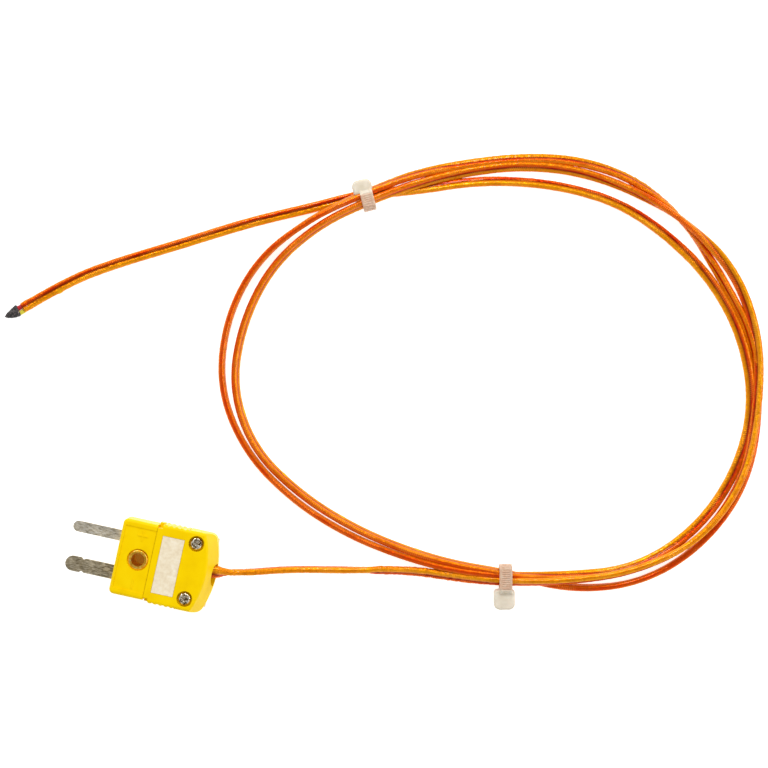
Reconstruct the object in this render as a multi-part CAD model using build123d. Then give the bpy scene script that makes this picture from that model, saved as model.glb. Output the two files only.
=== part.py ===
"""Thermocouple probe: miniature flat-blade connector, film-wrapped twin cable in a tied loop, sealed tip.

Frame, in millimetres: the connector lies flat on z = 0. +X runs along it from the blades to the cable,
+Y towards the positive blade, +Z up. The origin is below the middle of the connector with its blades.
"""

from build123d import *
import math
import os

# Connector body. The part behind the front cap is a little wider than the cap.
BODY_LENGTH = 21.1
BODY_WIDTH = 16.9
CAP_WIDTH = 16.1
BODY_HEIGHT = 8.0
SPLIT_Z = 4.0
REAR_RADIUS = 22.0
REAR_DRAFT = 2.0
FRONT_CORNER = 1.0
REAR_CORNER = 1.6
EDGE_ROUND = 0.7
CAP_LENGTH = 7.3
COVER_GAP = 0.06
PANEL_MARGIN = 0.7
PANEL_WIDTH = 13.4
PANEL_DEPTH = 0.15
MARK_HEIGHT = 0.12
MARK_WIDTH = 0.28
MARK_SIZE = 2.1
MARK_OFFSET = 5.1

# Side notches in the upper half, and grip ribs
NOTCH_SIZE = 1.0
GRIP_START = 8.35
GRIP_LENGTH = 5.7
GRIP_DEPTH = 0.22
RIB_RADIUS = 0.45
RIB_INSET = 0.1
RIB_PITCH = 1.15
RIB_COUNT = 5

# Hollow inside
CAVITY_START = 8.6
CAVITY_END = 17.2
CAVITY_HALF = 6.3
FLOOR = 1.3
CEILING_Z = 7.0
EXIT_WIDTH = 4.8
EXIT_HEIGHT = 3.4

# Label
LABEL_START = 8.7
LABEL_LENGTH = 4.7
LABEL_WIDTH = 12.2
LABEL_RECESS = 0.3
LABEL_THICKNESS = 0.25
LABEL_MARGIN = 0.05

# Hollow rivet
RIVET_A = 4.6
RIVET_BORE_R = 1.4
RIVET_SHANK_R = 1.65
RIVET_FLANGE_R = 2.05
RIVET_FLANGE = 0.4
RIVET_ROUND = 0.24
RIVET_RECESS_R = 2.3
RIVET_RECESS = 0.5

# Blades
BLADE_REACH = 10.5
BLADE_THICKNESS = 0.8
BLADE_PITCH = 7.9
POSITIVE_WIDTH = 2.3
NEGATIVE_WIDTH = 3.0
NEGATIVE_TIP_WIDTH = 3.2
DETENT_FROM_TIP = 3.7
DETENT_RADIUS = 0.45
DETENT_INSET = 0.11
TAIL_WIDTH = 4.0
TAIL_END = 13.2
TAIL_GAP = 0.2

# Screws, washers and terminals
COVER_SCREW_A = 15.9
COVER_SCREW_B = 5.9
COVER_HEAD_R = 1.28
COVER_SHANK_R = 0.8
COVER_HEAD_HEIGHT = 0.85
COVER_SHANK_GAP = 0.1
COVER_SCREW_TIP = 1.5
COVER_BORE_FLOOR = 1.1
COUNTERBORE_R = 1.65
COUNTERBORE = 1.1
COVER_BOSS_R = 2.0
BASE_BOSS_R = 1.7
TERMINAL_A = 11.5
TERMINAL_HEAD_R = 1.6
TERMINAL_HEAD_HEIGHT = 1.05
TERMINAL_SHANK_R = 0.95
TERMINAL_SCREW_TIP = 1.7
TERMINAL_WELL_GAP = 0.3
WASHER_R = 1.85
WASHER_THICKNESS = 0.4
RUNNING_GAP = 0.05
SEAT_GAP = 0.03
# Share of a screw head's height or radius: rim rounding, recess depth, half length and half width of its arms
HEAD_ROUND = 0.4
RECESS_DEPTH = 0.5
RECESS_REACH = 0.62
RECESS_LINE = 0.17

# Cable: flat twin, two insulated solid conductors side by side in film
CABLE_WIDTH = 2.2
CABLE_THICKNESS = 1.3
CORE_R = 0.46
CORE_SPACING = 0.55
WIRE_R = 0.255
JACKET_END = 16.4
CORE_END = 13.9
CORE_STRAIGHT = 0.7
CORE_LEAD_IN = 0.6
CORE_BEND = 0.7
WIRE_B = 2.65
WIRE_END = 10.0
# Share of the shorter run that an arc between two runs takes up
ARC_SHARE = 0.45

# Cable ties
TIE_WIDTH = 2.85
TIE_THICKNESS = 0.9
TIE_OPENING_HEIGHT = 2.5
TIE_HEAD_HEIGHT = 3.6
TIE_STRAP_ROUND = 0.72
TIE_HEAD_ROUND = 0.8
TIE_TAIL = 0.4
# Each tie: place of its opening's middle, heading of the bundle, opening width, head length, head width
BOTTOM_TIE = ((75.6, 12.8), 12.4, 4.5, 4.5, 4.1)
TOP_TIE = ((30.1, 84.2), 206.9, 2.9, 4.2, 3.3)

# Sensing end
CORES_OUT = 1.2
SEAL_OVER_CORES = 0.4
SEAL_LENGTH = 3.5
SEAL_RADIUS = 1.2
SEAL_NECK_R = 1.0
SEAL_POINT_R = 0.15
SEAL_FLAT = 0.45
# Share of the seal's length or radius at its two curves' turning points
SEAL_SHOULDER = 0.25
SEAL_RISE = (0.11, 0.95)
SEAL_TAPER = (0.64, 0.76)
TIP_WIRE_LENGTH = 1.1
WELD_R = 0.5

# Route of the cable. Stretches that are not coiled are points chosen by hand.
PLUG_LEAD = [
    (11.1, 0.0, 4.0),
    (14.4, 0.0, 4.0),
    (19.7, 1.2, 4.0),
    (30.3, 4.3, 0.9),
    (43.1, 6.9, 1.0),
    (56.0, 9.7, 1.0),
    (65.9, 10.3, 1.1),
    (73.4, 11.5, 1.4),
]
TIP_LEAD = [
    (26.5, 84.2, 0.7),
    (19.1, 80.4, 0.7),
    (6.3, 74.3, 0.7),
    (-6.9, 66.7, 0.7),
    (-19.6, 59.7, 0.7),
    (-28.7, 53.7, 0.7),
    (-36.8, 46.7, 0.7),
]
# The loop: distance of each turn from the loop's centre, one value every 15 degrees from the bottom tie.
LOOP_CENTRE = (62.1, 55.9)
LOOP_START_ANGLE = -72.3
LOOP_STEP = 15.0
FIRST_TURN = [46.0, 49.1, 54.0, 58.7, 59.8, 58.3, 58.0, 56.2, 52.0, 48.1, 45.2, 42.7,
              41.0, 40.9, 42.4, 46.2, 50.1, 52.5, 54.3, 52.7, 48.3, 45.0, 43.2, 43.1]
SECOND_TURN = [44.5, 51.2, 57.1, 60.0, 60.8, 58.7, 57.0, 53.1, 51.9, 50.4, 47.5, 44.3,
               42.6, 43.0, 44.3, 48.3, 53.4, 56.1, 57.0, 54.5, 50.3, 46.9, 44.8, 44.4]
THIRD_TURN = [45.1, 48.1, 53.7, 56.7, 57.9, 57.6, 54.9, 51.2, 47.2, 44.3, 41.2, 39.3,
              38.8, 39.5, 44.0]
COIL_HEIGHT = 3.4
COIL_MARGIN = 0.75

# How far a cutting shape reaches past what it cuts
OVERSHOOT = 1.0

FRONT_X = (BLADE_REACH - BODY_LENGTH) / 2
BLADE_B = BLADE_PITCH / 2
BLADE_LOW = SPLIT_Z - BLADE_THICKNESS / 2
BLADE_TOP = SPLIT_Z + BLADE_THICKNESS / 2
WASHER_LOW = BLADE_TOP + 2 * WIRE_R
WASHER_TOP = WASHER_LOW + WASHER_THICKNESS
LAST_RUN = Vector(*TIP_LEAD[-1]) - Vector(*TIP_LEAD[-2])
TIP_HEADING = math.degrees(math.atan2(LAST_RUN.Y, LAST_RUN.X))


def at(a):
    """x of a place a mm behind the front face of the body."""
    return FRONT_X + a


def block(a0, a1, b0, b1, z0, z1):
    """Box between two distances from the front face, two widths and two heights."""
    middle = (at((a0 + a1) / 2), (b0 + b1) / 2, (z0 + z1) / 2)
    return Pos(*middle) * Box(a1 - a0, b1 - b0, z1 - z0)


def upright(radius, a, b, z0, z1):
    """Vertical cylinder at a mm behind the front face."""
    return Pos(at(a), b, (z0 + z1) / 2) * Cylinder(radius, z1 - z0)


def envelope(width):
    """Outside of a closed body: square front, bowed rear with draft on its upper half, rounded edges."""
    half = width / 2
    rear_centre = at(BODY_LENGTH) - REAR_RADIUS
    shoulder = rear_centre + math.sqrt(REAR_RADIUS**2 - half**2)
    sides = Polyline((shoulder, -half), (at(0), -half), (at(0), half), (shoulder, half))
    rear = ThreePointArc((shoulder, half), (at(BODY_LENGTH), 0), (shoulder, -half))
    outline = make_face(sides.edges() + rear.edges())
    corners = outline.vertices().sort_by(Axis.X)
    outline = fillet(corners[:2], FRONT_CORNER)
    outline = fillet(outline.vertices().sort_by(Axis.X)[-2:], REAR_CORNER)
    solid = extrude(outline, BODY_HEIGHT)
    upper_height = BODY_HEIGHT - SPLIT_Z
    lower = Pos(rear_centre, 0, SPLIT_Z / 2) * Cylinder(REAR_RADIUS, SPLIT_Z)
    upper = Pos(rear_centre, 0, SPLIT_Z + upper_height / 2) * Cone(
        REAR_RADIUS, REAR_RADIUS - REAR_DRAFT, upper_height
    )
    solid = solid & (lower + upper)
    flat_edges = solid.edges().filter_by_position(Axis.Z, 0, 0) + solid.edges().filter_by_position(
        Axis.Z, BODY_HEIGHT, BODY_HEIGHT
    )
    return fillet(flat_edges, EDGE_ROUND)


def body():
    """Closed body with its side notches and grip ribs, before it is parted into shells."""
    shape = envelope(BODY_WIDTH)
    half = BODY_WIDTH / 2
    start = CAP_LENGTH + COVER_GAP
    high = BODY_HEIGHT + OVERSHOOT
    front = block(-OVERSHOOT, start, -BODY_WIDTH, BODY_WIDTH, -OVERSHOOT, high)
    solid = (shape - front) + (envelope(CAP_WIDTH) & front)
    ribs = []
    for side in (-1, 1):
        outer = side * (half + OVERSHOOT)
        notch = side * (half - NOTCH_SIZE)
        grip = side * (half - GRIP_DEPTH)
        solid -= block(start, start + NOTCH_SIZE, min(notch, outer), max(notch, outer), SPLIT_Z, high)
        grip_end = GRIP_START + GRIP_LENGTH
        solid -= block(GRIP_START, grip_end, min(grip, outer), max(grip, outer), -OVERSHOOT, high)
        for index in range(RIB_COUNT):
            a = GRIP_START + RIB_RADIUS + RIB_INSET + index * RIB_PITCH
            ribs.append(upright(RIB_RADIUS, a, side * (half - RIB_RADIUS), 0, BODY_HEIGHT))
    for rib in ribs:
        solid += rib & shape
    return solid


def cable_exit():
    """Oval opening for the cable, half in the base and half in the cover."""
    oval = Plane(origin=(at(CAVITY_END - OVERSHOOT), 0, SPLIT_Z), x_dir=(0, 1, 0), z_dir=(1, 0, 0))
    length = BODY_LENGTH - CAVITY_END + 2 * OVERSHOOT
    return extrude(oval * Ellipse(EXIT_WIDTH / 2, EXIT_HEIGHT / 2), length)


def rivet_hole():
    """Hole for the rivet's shank, with a recess for its flange at each end."""
    above = BODY_HEIGHT + OVERSHOOT
    hole = upright(RIVET_SHANK_R, RIVET_A, 0, -OVERSHOOT, above)
    low = upright(RIVET_RECESS_R, RIVET_A, 0, -OVERSHOOT, RIVET_RECESS)
    high = upright(RIVET_RECESS_R, RIVET_A, 0, BODY_HEIGHT - PANEL_DEPTH - RIVET_RECESS, above)
    return hole + low + high


def blade_channels(clearance, a1):
    """Channels that the blades lie in, from in front of the body back to a1."""
    cut = None
    for b, width in ((BLADE_B, POSITIVE_WIDTH), (-BLADE_B, NEGATIVE_WIDTH)):
        half = width / 2 + clearance
        channel = block(-OVERSHOOT, a1, b - half, b + half, BLADE_LOW - clearance, BLADE_TOP + clearance)
        cut = channel if cut is None else cut + channel
    return cut


def plug_base(shell):
    rim = SPLIT_Z + OVERSHOOT
    solid = shell & block(-OVERSHOOT, BODY_LENGTH + OVERSHOOT, -BODY_WIDTH, BODY_WIDTH, 0, SPLIT_Z)
    hollow = block(CAVITY_START, CAVITY_END, -CAVITY_HALF, CAVITY_HALF, FLOOR, rim)
    for side in (-1, 1):
        hollow -= upright(BASE_BOSS_R, COVER_SCREW_A, side * COVER_SCREW_B, FLOOR, rim)
        b = side * BLADE_B
        half = TAIL_WIDTH / 2
        hollow -= block(CAVITY_START, TAIL_END, b - half, b + half, FLOOR, BLADE_LOW)
    solid -= hollow
    for side in (-1, 1):
        thread_r = COVER_SHANK_R + RUNNING_GAP
        solid -= upright(thread_r, COVER_SCREW_A, side * COVER_SCREW_B, COVER_BORE_FLOOR, rim)
        solid -= upright(TERMINAL_SHANK_R + TERMINAL_WELL_GAP, TERMINAL_A, side * BLADE_B, FLOOR, BLADE_LOW)
    return solid - blade_channels(0, CAVITY_START) - rivet_hole() - cable_exit()


def plug_front_cap(shell):
    solid = shell & block(-OVERSHOOT, CAP_LENGTH, -BODY_WIDTH, BODY_WIDTH, SPLIT_Z, BODY_HEIGHT)
    panel_z = BODY_HEIGHT - PANEL_DEPTH
    half = PANEL_WIDTH / 2
    solid -= block(PANEL_MARGIN, CAP_LENGTH + OVERSHOOT, -half, half, panel_z, BODY_HEIGHT + OVERSHOOT)
    arm = MARK_SIZE / 2
    line = MARK_WIDTH / 2
    b = MARK_OFFSET
    a = RIVET_A
    top = panel_z + MARK_HEIGHT
    solid += block(a - line, a + line, b - arm, b + arm, panel_z, top)
    solid += block(a - arm, a + arm, b - line, b + line, panel_z, top)
    solid += block(a - line, a + line, -b - arm, -b + arm, panel_z, top)
    return solid - blade_channels(0, CAVITY_START) - rivet_hole()


def plug_rear_cover(shell):
    start = CAP_LENGTH + COVER_GAP
    below = SPLIT_Z - OVERSHOOT
    above = BODY_HEIGHT + OVERSHOOT
    solid = shell & block(start, BODY_LENGTH + OVERSHOOT, -BODY_WIDTH, BODY_WIDTH, SPLIT_Z, BODY_HEIGHT)
    hollow = block(CAVITY_START, CAVITY_END, -CAVITY_HALF, CAVITY_HALF, below, CEILING_Z)
    for side in (-1, 1):
        hollow -= upright(COVER_BOSS_R, COVER_SCREW_A, side * COVER_SCREW_B, below, CEILING_Z)
    solid -= hollow
    for side in (-1, 1):
        b = side * COVER_SCREW_B
        solid -= upright(COVER_SHANK_R + COVER_SHANK_GAP, COVER_SCREW_A, b, below, BODY_HEIGHT)
        solid -= upright(COUNTERBORE_R, COVER_SCREW_A, b, BODY_HEIGHT - COUNTERBORE, above)
        tail = side * BLADE_B
        half = TAIL_WIDTH / 2 + TAIL_GAP
        rear = CAVITY_START + COVER_GAP
        solid -= block(start - OVERSHOOT, rear, tail - half, tail + half, below, BLADE_TOP + TAIL_GAP)
    half = LABEL_WIDTH / 2
    solid -= block(LABEL_START, LABEL_START + LABEL_LENGTH, -half, half, BODY_HEIGHT - LABEL_RECESS, above)
    return solid - cable_exit()


def write_on_label():
    half = LABEL_WIDTH / 2 - LABEL_MARGIN
    low = BODY_HEIGHT - LABEL_RECESS
    a0 = LABEL_START + LABEL_MARGIN
    a1 = LABEL_START + LABEL_LENGTH - LABEL_MARGIN
    return block(a0, a1, -half, half, low, low + LABEL_THICKNESS)


def hollow_rivet():
    """Tube rivet, rolled over at both ends."""
    low = RIVET_RECESS - RIVET_FLANGE
    high = BODY_HEIGHT - PANEL_DEPTH - RIVET_RECESS + RIVET_FLANGE
    tube = upright(RIVET_SHANK_R, RIVET_A, 0, low, high)
    tube += upright(RIVET_FLANGE_R, RIVET_A, 0, low, RIVET_RECESS)
    tube += upright(RIVET_FLANGE_R, RIVET_A, 0, high - RIVET_FLANGE, high)
    rims = tube.edges().filter_by(GeomType.CIRCLE).filter_by(lambda edge: edge.radius > RIVET_SHANK_R)
    lowest = rims.sort_by(Axis.Z)[0]
    highest = rims.sort_by(Axis.Z)[-1]
    tube = fillet([lowest, highest], RIVET_ROUND)
    return tube - upright(RIVET_BORE_R, RIVET_A, 0, -OVERSHOOT, BODY_HEIGHT + OVERSHOOT)


def blade_tail(b):
    """Wide rear end of a blade with the hole for its terminal screw."""
    half = TAIL_WIDTH / 2
    tail = block(CAVITY_START, TAIL_END, b - half, b + half, BLADE_LOW, BLADE_TOP)
    return tail - upright(TERMINAL_SHANK_R + RUNNING_GAP, TERMINAL_A, b, 0, BODY_HEIGHT)


def blade_positive():
    half = POSITIVE_WIDTH / 2
    tip_a = half - BLADE_REACH
    shaft = block(tip_a, CAVITY_START, BLADE_B - half, BLADE_B + half, BLADE_LOW, BLADE_TOP)
    shaft += upright(half, tip_a, BLADE_B, BLADE_LOW, BLADE_TOP)
    return shaft + blade_tail(BLADE_B)


def blade_negative():
    half = NEGATIVE_WIDTH / 2
    tip_half = NEGATIVE_TIP_WIDTH / 2
    tip_a = tip_half - BLADE_REACH
    detent_a = DETENT_FROM_TIP - BLADE_REACH
    shaft = block(detent_a, CAVITY_START, -BLADE_B - half, -BLADE_B + half, BLADE_LOW, BLADE_TOP)
    shaft += block(tip_a, detent_a, -BLADE_B - tip_half, -BLADE_B + tip_half, BLADE_LOW, BLADE_TOP)
    shaft += upright(tip_half, tip_a, -BLADE_B, BLADE_LOW, BLADE_TOP)
    for side in (-1, 1):
        b = -BLADE_B + side * (tip_half + DETENT_INSET)
        shaft -= upright(DETENT_RADIUS, detent_a, b, 0, BODY_HEIGHT)
    return shaft + blade_tail(-BLADE_B)


def screw(a, b, seat_z, head_r, head_height, shank_r, tip_z):
    """Pan-head screw with a cross recess, standing on seat_z."""
    top = seat_z + head_height
    head = upright(head_r, a, b, seat_z, top)
    rim = head.edges().filter_by(GeomType.CIRCLE).sort_by(Axis.Z)[-1]
    head = fillet(rim, head_height * HEAD_ROUND)
    solid = head + upright(shank_r, a, b, tip_z, seat_z)
    reach = head_r * RECESS_REACH
    line = head_r * RECESS_LINE
    floor = top - head_height * RECESS_DEPTH
    solid -= block(a - reach, a + reach, b - line, b + line, floor, top + OVERSHOOT)
    solid -= block(a - line, a + line, b - reach, b + reach, floor, top + OVERSHOOT)
    return solid


def cover_screw(side):
    seat = BODY_HEIGHT - COUNTERBORE + SEAT_GAP
    b = side * COVER_SCREW_B
    return screw(COVER_SCREW_A, b, seat, COVER_HEAD_R, COVER_HEAD_HEIGHT, COVER_SHANK_R, COVER_SCREW_TIP)


def terminal_screw(side):
    seat = WASHER_TOP + SEAT_GAP
    b = side * BLADE_B
    return screw(
        TERMINAL_A, b, seat, TERMINAL_HEAD_R, TERMINAL_HEAD_HEIGHT, TERMINAL_SHANK_R, TERMINAL_SCREW_TIP
    )


def terminal_washer(side):
    disc = upright(WASHER_R, TERMINAL_A, side * BLADE_B, WASHER_LOW, WASHER_TOP)
    return disc - upright(TERMINAL_SHANK_R + RUNNING_GAP, TERMINAL_A, side * BLADE_B, 0, BODY_HEIGHT)


def swept(path, section):
    """Section swept along a path from its start."""
    start = Plane(origin=path @ 0, z_dir=path % 0)
    return sweep(start * section, path=path)


def plug_core(side):
    """Insulated core from the end of the film to its terminal."""
    low = SPLIT_Z
    high = BLADE_TOP + WIRE_R
    near = side * CORE_SPACING
    far = side * WIRE_B
    points = [
        (at(JACKET_END), near, low),
        (at(JACKET_END - CORE_STRAIGHT), near, low),
        (at(CORE_END + CORE_LEAD_IN), far, high),
        (at(CORE_END), far, high),
    ]
    return swept(FilletPolyline(*points, radius=CORE_BEND), Circle(CORE_R))


def plug_wire(side):
    """Bare conductor under the terminal washer."""
    length = CORE_END - WIRE_END
    place = Pos(at(CORE_END - length / 2), side * WIRE_B, BLADE_TOP + WIRE_R)
    return place * Rot(0, 90, 0) * Cylinder(WIRE_R, length)


def tube_path(points):
    """Straight runs joined by tangent arcs, each as large as its two runs allow."""
    runs = [Vector(*b) - Vector(*a) for a, b in zip(points, points[1:])]
    radii = []
    for before, after in zip(runs, runs[1:]):
        half_turn = math.radians(before.get_angle(after)) / 2
        radii.append(ARC_SHARE * min(before.length, after.length) / math.tan(half_turn))
    return FilletPolyline(*points, radius=radii), radii


def cable_tube(points, name):
    path, radii = tube_path(points)
    section = SlotOverall(CABLE_WIDTH, CABLE_THICKNESS)
    start = Plane(origin=path @ 0, x_dir=(path % 0).cross(Vector(0, 0, 1)), z_dir=path % 0)
    tube = sweep(start * section, path=path)
    share = tube.volume / (section.area * path.length)
    bends = [round(r) for r in radii]
    print(name, "radii", bends, "length", round(path.length, 1), "volume ratio", round(share, 3))
    return tube


def loop_point(station, radius):
    """Place on the loop at a station counted from the bottom tie."""
    angle = math.radians(LOOP_START_ANGLE + LOOP_STEP * station)
    return LOOP_CENTRE[0] + radius * math.cos(angle), LOOP_CENTRE[1] + radius * math.sin(angle)


def loop_length():
    """Length of the turns, from the bottom tie to where the tip lead leaves the loop."""
    stations = range(len(FIRST_TURN) + len(SECOND_TURN) + len(THIRD_TURN))
    route = [loop_point(k, (FIRST_TURN + SECOND_TURN + THIRD_TURN)[k]) for k in stations]
    return sum(math.dist(a, b) for a, b in zip(route, route[1:]))


def cable_coil(ties):
    """One closed ring with the outer shape of the bundled turns."""
    inner = []
    outer = []
    for station in range(len(FIRST_TURN)):
        radii = [turn[station] for turn in (FIRST_TURN, SECOND_TURN, THIRD_TURN) if station < len(turn)]
        inner.append(loop_point(station, min(radii) - COIL_MARGIN))
        outer.append(loop_point(station, max(radii) + COIL_MARGIN))
    rings = [make_face(Spline(*points, periodic=True).edges()) for points in (outer, inner)]
    solid = extrude(rings[0] - rings[1], COIL_HEIGHT)
    for tie in ties:
        solid -= tie
    return solid


def cable_tie(place, heading, opening, head_length, head_width):
    """Closed strap round the bundle with its ratchet head on the outer side and the cut end of its tail."""
    full_height = TIE_OPENING_HEIGHT + 2 * TIE_THICKNESS
    strap = Pos(0, 0, full_height / 2) * Box(TIE_WIDTH, opening + 2 * TIE_THICKNESS, full_height)
    strap = fillet(strap.edges().filter_by(Axis.X), TIE_STRAP_ROUND)
    strap -= Pos(0, 0, full_height / 2) * Box(TIE_WIDTH + OVERSHOOT, opening, TIE_OPENING_HEIGHT)
    head_y = -(opening + head_width) / 2
    head = Pos(0, head_y, TIE_HEAD_HEIGHT / 2) * Box(head_length, head_width, TIE_HEAD_HEIGHT)
    head = fillet(head.edges().filter_by(Axis.Z), TIE_HEAD_ROUND)
    tail = Pos(0, head_y, TIE_HEAD_HEIGHT + TIE_TAIL / 2) * Box(TIE_WIDTH, TIE_THICKNESS, TIE_TAIL)
    return Pos(place[0], place[1], 0) * Rot(0, 0, heading) * (strap + head + tail)


def tip_place(distance, across=0.0):
    """Place beyond the end of the film, along the sensing end."""
    end = TIP_LEAD[-1]
    ahead = math.radians(TIP_HEADING)
    x = end[0] + distance * math.cos(ahead) - across * math.sin(ahead)
    y = end[1] + distance * math.sin(ahead) + across * math.cos(ahead)
    return x, y, end[2]


def rod(start, end, radius):
    """Straight round rod between two places."""
    path = Line(start, end)
    return swept(path, Circle(radius))


def tip_core(side):
    """Insulated core from the end of the film into the seal."""
    length = CORES_OUT + SEAL_OVER_CORES
    return rod(tip_place(0, side * CORE_SPACING), tip_place(length, side * CORE_SPACING), CORE_R)


def tip_wire(side):
    """Bare conductor from its core into the weld."""
    start = CORES_OUT + SEAL_OVER_CORES
    end = start + TIP_WIRE_LENGTH
    return rod(tip_place(start, side * CORE_SPACING), tip_place(end, side * WELD_R / 2), WIRE_R)


def weld_bead():
    """Round weld that joins the two conductors, with its poles along the sensing end."""
    distance = CORES_OUT + SEAL_OVER_CORES + TIP_WIRE_LENGTH
    return Pos(*tip_place(distance)) * Rot(0, 0, TIP_HEADING) * Rot(0, 90, 0) * Sphere(WELD_R)


def tip_seal():
    """Pointed bead of hard sealing compound over the junction, flattened where it lies on the surface."""
    widest = (SEAL_LENGTH * SEAL_SHOULDER, SEAL_RADIUS)
    rise = (SEAL_LENGTH * SEAL_RISE[0], SEAL_RADIUS * SEAL_RISE[1])
    fall = (SEAL_LENGTH * SEAL_TAPER[0], SEAL_RADIUS * SEAL_TAPER[1])
    rounded = ThreePointArc((0, SEAL_NECK_R), rise, widest)
    taper = ThreePointArc(widest, fall, (SEAL_LENGTH, SEAL_POINT_R))
    rest = Polyline((SEAL_LENGTH, SEAL_POINT_R), (SEAL_LENGTH, 0), (0, 0), (0, SEAL_NECK_R))
    bead = revolve(make_face(rounded.edges() + taper.edges() + rest.edges()), Axis.X)
    height = 2 * (SEAL_RADIUS - SEAL_FLAT)
    bead &= Pos(SEAL_LENGTH / 2, 0, 0) * Box(2 * SEAL_LENGTH, 3 * SEAL_RADIUS, height)
    x, y, _ = tip_place(CORES_OUT)
    solid = Pos(x, y, height / 2) * Rot(0, 0, TIP_HEADING) * bead
    for side in (-1, 1):
        solid -= tip_core(side)
        solid -= tip_wire(side)
    return solid - weld_bead()


def main():
    os.makedirs("parts", exist_ok=True)
    shell = body()
    ties = {
        "cable_tie_bottom": cable_tie(*BOTTOM_TIE),
        "cable_tie_top": cable_tie(*TOP_TIE),
    }
    nodes = {
        "plug_base": plug_base(shell),
        "plug_front_cap": plug_front_cap(shell),
        "plug_rear_cover": plug_rear_cover(shell),
        "write_on_label": write_on_label(),
        "hollow_rivet": hollow_rivet(),
        "blade_positive": blade_positive(),
        "blade_negative": blade_negative(),
        "cover_screw_left": cover_screw(1),
        "cover_screw_right": cover_screw(-1),
        "terminal_screw_positive": terminal_screw(1),
        "terminal_screw_negative": terminal_screw(-1),
        "terminal_washer_positive": terminal_washer(1),
        "terminal_washer_negative": terminal_washer(-1),
        "core_positive_plug_end": plug_core(1),
        "core_negative_plug_end": plug_core(-1),
        "conductor_positive_plug_end": plug_wire(1),
        "conductor_negative_plug_end": plug_wire(-1),
        "cable_plug_lead": cable_tube(PLUG_LEAD, "plug lead"),
        "cable_coil": cable_coil(ties.values()),
        "cable_tip_lead": cable_tube(TIP_LEAD, "tip lead"),
        **ties,
        "core_positive_tip": tip_core(1),
        "core_negative_tip": tip_core(-1),
        "conductor_positive_tip": tip_wire(1) - weld_bead(),
        "conductor_negative_tip": tip_wire(-1) - weld_bead(),
        "weld_bead": weld_bead(),
        "tip_seal": tip_seal(),
    }
    print("loop length", round(loop_length(), 1))
    for name, solid in nodes.items():
        export_step(solid, f"parts/{name}.step")


main()
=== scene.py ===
"""Looks of the thermocouple probe: film-wrapped twin cable in a tied loop, connector, ties and sealed tip."""

import math

import bmesh
import bpy
import numpy as np
from mathutils import Matrix, Vector, noise


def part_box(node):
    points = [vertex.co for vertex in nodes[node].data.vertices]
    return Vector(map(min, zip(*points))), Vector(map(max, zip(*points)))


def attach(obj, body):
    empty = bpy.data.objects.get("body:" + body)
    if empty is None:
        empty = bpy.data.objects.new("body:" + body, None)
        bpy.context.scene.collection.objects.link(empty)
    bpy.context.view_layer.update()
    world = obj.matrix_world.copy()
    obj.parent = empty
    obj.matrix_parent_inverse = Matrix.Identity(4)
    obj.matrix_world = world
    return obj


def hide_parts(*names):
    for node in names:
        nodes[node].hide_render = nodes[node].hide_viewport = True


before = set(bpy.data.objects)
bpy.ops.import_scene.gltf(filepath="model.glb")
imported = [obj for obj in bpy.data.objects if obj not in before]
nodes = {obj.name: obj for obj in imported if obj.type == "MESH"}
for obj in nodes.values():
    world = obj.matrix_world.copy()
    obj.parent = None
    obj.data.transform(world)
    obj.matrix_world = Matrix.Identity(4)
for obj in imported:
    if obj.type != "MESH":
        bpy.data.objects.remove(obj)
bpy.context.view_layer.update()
MM = 0.001


def linked(name, data):
    """Object with that mesh, camera or light, put into the scene."""
    made = bpy.data.objects.new(name, data)
    bpy.context.scene.collection.objects.link(made)
    return made


def smooth_piece(name, mesh):
    """Piece with that mesh, shaded smooth."""
    mesh.polygons.foreach_set("use_smooth", [True] * len(mesh.polygons))
    return linked(name, mesh)


def closed_mesh(name, build):
    """Mesh of a finished bmesh, with its faces turned outward."""
    bmesh.ops.recalc_face_normals(build, faces=build.faces)
    mesh = bpy.data.meshes.new(name)
    build.to_mesh(mesh)
    build.free()
    return mesh


# ---------------------------------------------------------------- camera

VIEW_CENTRE = (41.75, 47.01)  # mm, the place on the floor that the camera looks straight down at
VIEW_TURN = 12.4  # degrees, how far the connector's axis is turned in the picture
VIEW_HEIGHT = 500.0  # mm
VIEW_WIDTH = 163.28  # mm of floor across the picture
SENSOR_WIDTH = 36.0  # mm

camera = linked("camera", bpy.data.cameras.new("camera"))
camera.location = (VIEW_CENTRE[0] * MM, VIEW_CENTRE[1] * MM, VIEW_HEIGHT * MM)
camera.rotation_euler = (0.0, 0.0, math.radians(VIEW_TURN))
camera.data.sensor_width = SENSOR_WIDTH
camera.data.lens = SENSOR_WIDTH * VIEW_HEIGHT / VIEW_WIDTH
camera.data.clip_start = 0.005
camera.data.clip_end = 5.0
bpy.context.scene.camera = camera

# ---------------------------------------------------------------- route of the cable, in mm

PLUG_LEAD = [
    (11.1, 0.0, 4.0),
    (19.7, 1.2, 4.0),
    (30.3, 4.3, 0.9),
    (43.1, 6.9, 1.0),
    (56.0, 9.7, 1.0),
    (65.9, 10.3, 1.1),
]
TIP_LEAD = [
    (26.5, 84.2, 0.8),
    (19.1, 80.4, 0.7),
    (6.3, 74.3, 0.7),
    (-6.9, 66.7, 0.7),
    (-19.6, 59.7, 0.7),
    (-28.7, 53.7, 0.7),
    (-36.6, 46.3, 0.7),
]
LOOP_CENTRE = (62.1, 55.9)
LOOP_START_ANGLE = -72.3  # degrees
LOOP_STEP = 15.0  # degrees
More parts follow.
